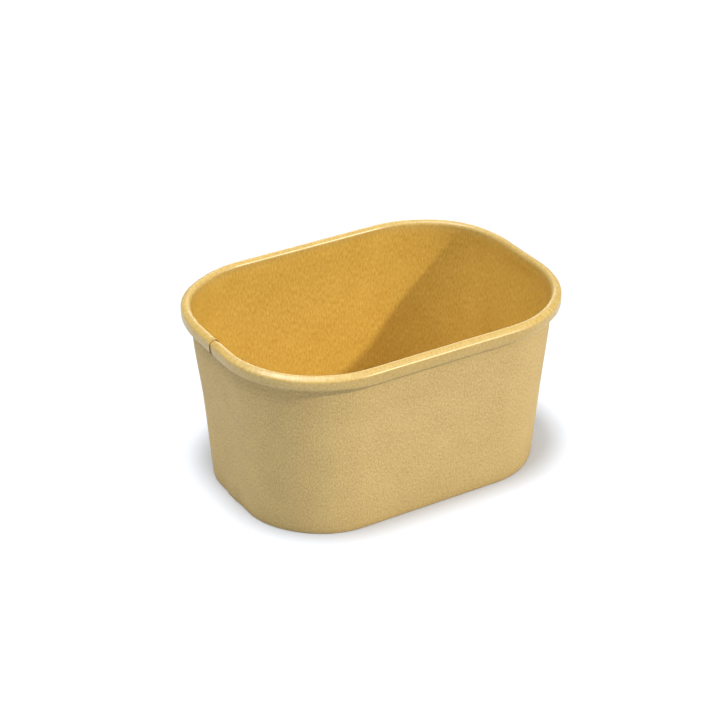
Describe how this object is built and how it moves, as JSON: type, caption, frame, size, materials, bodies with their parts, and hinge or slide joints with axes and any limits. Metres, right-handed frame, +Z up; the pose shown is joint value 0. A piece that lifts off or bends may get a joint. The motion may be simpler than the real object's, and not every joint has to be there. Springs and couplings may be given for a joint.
{
  "type": "rectangular paperboard food tray",
  "caption": "Deep rectangular kraft paperboard food tray with rounded corners, leaning walls, an outward-rolled rim, an overlapped side seam and a recessed bottom panel held in the folded foot.",
  "frame": {"origin": "centre of the footprint, on the surface that the tray stands on", "axes": "+X along the length, away from the end with the side seam; +Z up, from the foot to the rim; +Y across the width"},
  "size_m": [0.168, 0.123, 0.086],
  "materials": {
    "kraft_board": "matt kraft outside, lightly glossy coated inside and over the rim",
    "coated_board": "lightly glossy coated inside"
  },
  "bodies": {
    "root": {"sidewall": "kraft_board", "bottom_panel": "coated_board"}
  },
  "joints": []
}
